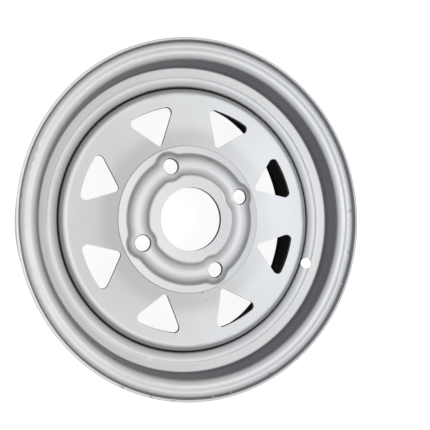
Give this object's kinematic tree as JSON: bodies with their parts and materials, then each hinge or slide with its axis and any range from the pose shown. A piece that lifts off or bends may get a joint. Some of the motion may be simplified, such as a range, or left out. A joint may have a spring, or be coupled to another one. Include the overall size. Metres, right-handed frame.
{
  "type": "wheel rim",
  "caption": "Pressed steel drop-centre wheel with a stamped disc: triangular windows, a raised lobed bead round the stud holes, a plain centre bore and a valve hole.",
  "frame": {"origin": "centre of the centre bore in the plane of the disc's hub face, which sits on the hub", "axes": "+Z along the axle towards the outboard side, +X through one stud hole and the window beyond it; the valve hole lies 45 degrees from +X towards -Y"},
  "size_m": [0.3322, 0.3322, 0.148],
  "materials": {
    "silver_paint": "satin"
  },
  "bodies": {
    "root": {"rim_band": "silver_paint", "wheel_disc": "silver_paint", "weld_beads": "silver_paint"}
  },
  "joints": []
}
